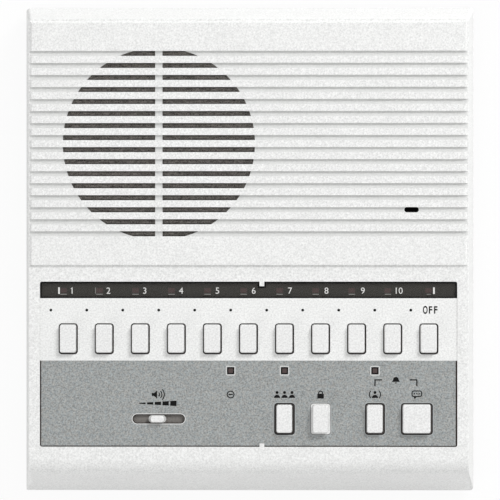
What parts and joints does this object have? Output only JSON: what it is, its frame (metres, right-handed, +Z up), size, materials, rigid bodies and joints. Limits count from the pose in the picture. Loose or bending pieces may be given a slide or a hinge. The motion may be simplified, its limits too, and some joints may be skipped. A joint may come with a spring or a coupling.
{
  "type": "vintage desk intercom",
  "caption": "Desk intercom master with a ribbed loudspeaker grille, a directory strip, a row of station keys, call keys and a sliding volume control.",
  "frame": {"origin": "middle of the surface that the feet stand on, under the middle of the case's box", "axes": "+Z up out of the face, +Y along the case towards the loudspeaker end, +X to the right as the face is read"},
  "size_m": [0.19, 0.205, 0.047],
  "materials": {
    "cover_plastic": "fine spark texture, off white",
    "rear_plastic": "fine texture, grey",
    "panel_white": "satin white",
    "overlay_grey": "printed film with a fine grain",
    "smoked_acrylic": "polished smoked acrylic",
    "printed_card": "card printed dark with light figures",
    "key_white": "satin moulded keys",
    "spring_wire": "drawn wire",
    "sheet_steel": "zinc plated",
    "screw_steel": "zinc plated",
    "switch_black": "moulded",
    "shutter_brown": "matt film",
    "lamp_resin": "tinted resin, unlit",
    "speaker_cloth": "open woven cloth",
    "foam_rubber": "closed cell foam",
    "foot_rubber": "moulded rubber",
    "cone_paper": "pressed pulp",
    "ferrite": "sintered",
    "aluminium_can": "drawn can",
    "board_laminate": "printed circuit laminate",
    "lamination_steel": "stacked laminations"
  },
  "bodies": {
    "case": {"all_call_spring": "spring_wire", "call_switches": "switch_black", "capacitors": "aluminium_can", "control_panel": "panel_white", "directory_card": "printed_card", "directory_window": "smoked_acrylic", "front_cover": "cover_plastic", "indicator_lamps": "lamp_resin", "lock_spring": "spring_wire", "main_board": "board_laminate", "microphone_boot": "foam_rubber", "microphone_capsule": "aluminium_can", "output_transformer": "lamination_steel", "panel_overlay": "overlay_grey", "private_spring": "spring_wire", "rear_cover": "rear_plastic", "rubber_feet": "foot_rubber", "selector_switch_block": "switch_black", "self_tapping_screws": "screw_steel", "speaker_basket": "sheet_steel", "speaker_clamps": "sheet_steel", "speaker_cloth": "speaker_cloth", "speaker_cone": "cone_paper", "speaker_gasket": "foam_rubber", "speaker_magnet": "ferrite", "speaker_yoke": "sheet_steel", "station_lamps": "lamp_resin", "station_spring_01": "spring_wire", "station_spring_02": "spring_wire", "station_spring_03": "spring_wire", "station_spring_04": "spring_wire", "station_spring_05": "spring_wire", "station_spring_06": "spring_wire", "station_spring_07": "spring_wire", "station_spring_08": "spring_wire", "station_spring_09": "spring_wire", "station_spring_10": "spring_wire", "station_spring_11": "spring_wire", "talk_spring": "spring_wire", "terminal_block": "switch_black", "volume_potentiometer": "sheet_steel"},
    "all_call_key": {"all_call_key": "key_white"},
    "lock_key": {"lock_key": "key_white"},
    "private_key": {"private_key": "key_white"},
    "station_key_01": {"station_key_01": "key_white"},
    "station_key_02": {"station_key_02": "key_white"},
    "station_key_03": {"station_key_03": "key_white"},
    "station_key_04": {"station_key_04": "key_white"},
    "station_key_05": {"station_key_05": "key_white"},
    "station_key_06": {"station_key_06": "key_white"},
    "station_key_07": {"station_key_07": "key_white"},
    "station_key_08": {"station_key_08": "key_white"},
    "station_key_09": {"station_key_09": "key_white"},
    "station_key_10": {"station_key_10": "key_white"},
    "station_key_11": {"station_key_11": "key_white"},
    "talk_key": {"talk_key": "key_white"},
    "volume_slider": {"volume_knob": "key_white", "volume_lever": "sheet_steel", "volume_shutter": "shutter_brown"},
    "latch_bar": {"latch_bar": "sheet_steel"}
  },
  "joints": [
    {"name": "all_call_key_press", "type": "slide", "parent": "case", "child": "all_call_key", "axis": [0, 0, -1], "range_m": [0, 0.003], "stiffness_N_per_m": 350, "springref_m": -0.0015, "deforming": ["all_call_spring"]},
    {"name": "lock_key_press", "type": "slide", "parent": "case", "child": "lock_key", "axis": [0, 0, -1], "range_m": [0, 0.003], "stiffness_N_per_m": 350, "springref_m": -0.0015, "deforming": ["lock_spring"]},
    {"name": "private_key_press", "type": "slide", "parent": "case", "child": "private_key", "axis": [0, 0, -1], "range_m": [0, 0.003], "stiffness_N_per_m": 350, "springref_m": -0.0015, "deforming": ["private_spring"]},
    {"name": "station_key_01_press", "type": "slide", "parent": "case", "child": "station_key_01", "axis": [0, 0, -1], "range_m": [0, 0.003], "stiffness_N_per_m": 350, "springref_m": -0.0015, "deforming": ["station_spring_01"]},
    {"name": "station_key_02_press", "type": "slide", "parent": "case", "child": "station_key_02", "axis": [0, 0, -1], "range_m": [0, 0.003], "stiffness_N_per_m": 350, "springref_m": -0.0015, "deforming": ["station_spring_02"]},
    {"name": "station_key_03_press", "type": "slide", "parent": "case", "child": "station_key_03", "axis": [0, 0, -1], "range_m": [0, 0.003], "stiffness_N_per_m": 350, "springref_m": -0.0015, "deforming": ["station_spring_03"]},
    {"name": "station_key_04_press", "type": "slide", "parent": "case", "child": "station_key_04", "axis": [0, 0, -1], "range_m": [0, 0.003], "stiffness_N_per_m": 350, "springref_m": -0.0015, "deforming": ["station_spring_04"]},
    {"name": "station_key_05_press", "type": "slide", "parent": "case", "child": "station_key_05", "axis": [0, 0, -1], "range_m": [0, 0.003], "stiffness_N_per_m": 350, "springref_m": -0.0015, "deforming": ["station_spring_05"]},
    {"name": "station_key_06_press", "type": "slide", "parent": "case", "child": "station_key_06", "axis": [0, 0, -1], "range_m": [0, 0.003], "stiffness_N_per_m": 350, "springref_m": -0.0015, "deforming": ["station_spring_06"]},
    {"name": "station_key_07_press", "type": "slide", "parent": "case", "child": "station_key_07", "axis": [0, 0, -1], "range_m": [0, 0.003], "stiffness_N_per_m": 350, "springref_m": -0.0015, "deforming": ["station_spring_07"]},
    {"name": "station_key_08_press", "type": "slide", "parent": "case", "child": "station_key_08", "axis": [0, 0, -1], "range_m": [0, 0.003], "stiffness_N_per_m": 350, "springref_m": -0.0015, "deforming": ["station_spring_08"]},
    {"name": "station_key_09_press", "type": "slide", "parent": "case", "child": "station_key_09", "axis": [0, 0, -1], "range_m": [0, 0.003], "stiffness_N_per_m": 350, "springref_m": -0.0015, "deforming": ["station_spring_09"]},
    {"name": "station_key_10_press", "type": "slide", "parent": "case", "child": "station_key_10", "axis": [0, 0, -1], "range_m": [0, 0.003], "stiffness_N_per_m": 350, "springref_m": -0.0015, "deforming": ["station_spring_10"]},
    {"name": "station_key_11_press", "type": "slide", "parent": "case", "child": "station_key_11", "axis": [0, 0, -1], "range_m": [0, 0.003], "stiffness_N_per_m": 350, "springref_m": -0.0015, "deforming": ["station_spring_11"]},
    {"name": "talk_key_press", "type": "slide", "parent": "case", "child": "talk_key", "axis": [0, 0, -1], "range_m": [0, 0.003], "stiffness_N_per_m": 350, "springref_m": -0.0015, "deforming": ["talk_spring"]},
    {"name": "volume_slide", "type": "slide", "parent": "case", "child": "volume_slider", "axis": [1, 0, 0], "range_m": [-0.0062, 0.0073]},
    {"name": "latch_bar_slide", "type": "slide", "parent": "case", "child": "latch_bar", "axis": [1, 0, 0], "range_m": [0, 0.0012], "stiffness_N_per_m": 400, "springref_m": -0.001}
  ]
}
